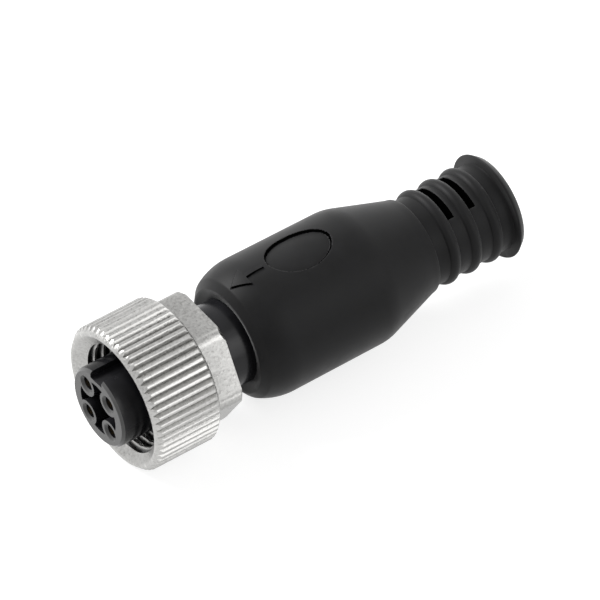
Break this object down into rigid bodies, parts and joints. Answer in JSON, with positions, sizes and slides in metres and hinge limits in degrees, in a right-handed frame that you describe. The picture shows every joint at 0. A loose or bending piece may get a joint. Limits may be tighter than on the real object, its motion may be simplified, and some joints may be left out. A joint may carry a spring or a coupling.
{
  "type": "m12 connector",
  "caption": "Straight M12 socket connector moulded on its cable: knurled coupling nut with a spanner hexagon, rounded black grip and a slotted, ringed boot at the cable end.",
  "frame": {"origin": "centre of the boot's rear end face, the lowest point of the part", "axes": "+Z along the connector's axis towards the mating face, -Y towards the marked side with the key arrow, the oval recess and the coding groove, +X to the right of the marks"},
  "size_m": [0.0148, 0.0148, 0.046],
  "materials": {
    "overmould": "matte moulded polyurethane with a fine grain",
    "inner_plastic": "matte",
    "carrier_plastic": "smooth moulded gloss",
    "seal_rubber": "satin rubber",
    "ring_plastic": "satin",
    "nut_metal": "nickel plated die casting, satin",
    "contact_metal": "gold plated"
  },
  "bodies": {
    "connector_body": {"overmould_body": "overmould", "inner_mould": "inner_plastic", "contact_carrier": "carrier_plastic", "sealing_ring": "seal_rubber", "contact_1": "contact_metal", "contact_2": "contact_metal", "contact_3": "contact_metal", "contact_4": "contact_metal"},
    "sliding_ring": {"vibration_ring": "ring_plastic"},
    "turning_nut": {"coupling_nut": "nut_metal"}
  },
  "joints": [
    {"name": "nut_slide", "type": "slide", "parent": "connector_body", "child": "sliding_ring", "axis": [0, 0, 1], "range_m": [-0.0028, 0]},
    {"name": "nut_spin", "type": "hinge", "parent": "sliding_ring", "child": "turning_nut", "pos_m": [0, 0, 0.0391], "axis": [0, 0, 1], "continuous": true}
  ]
}
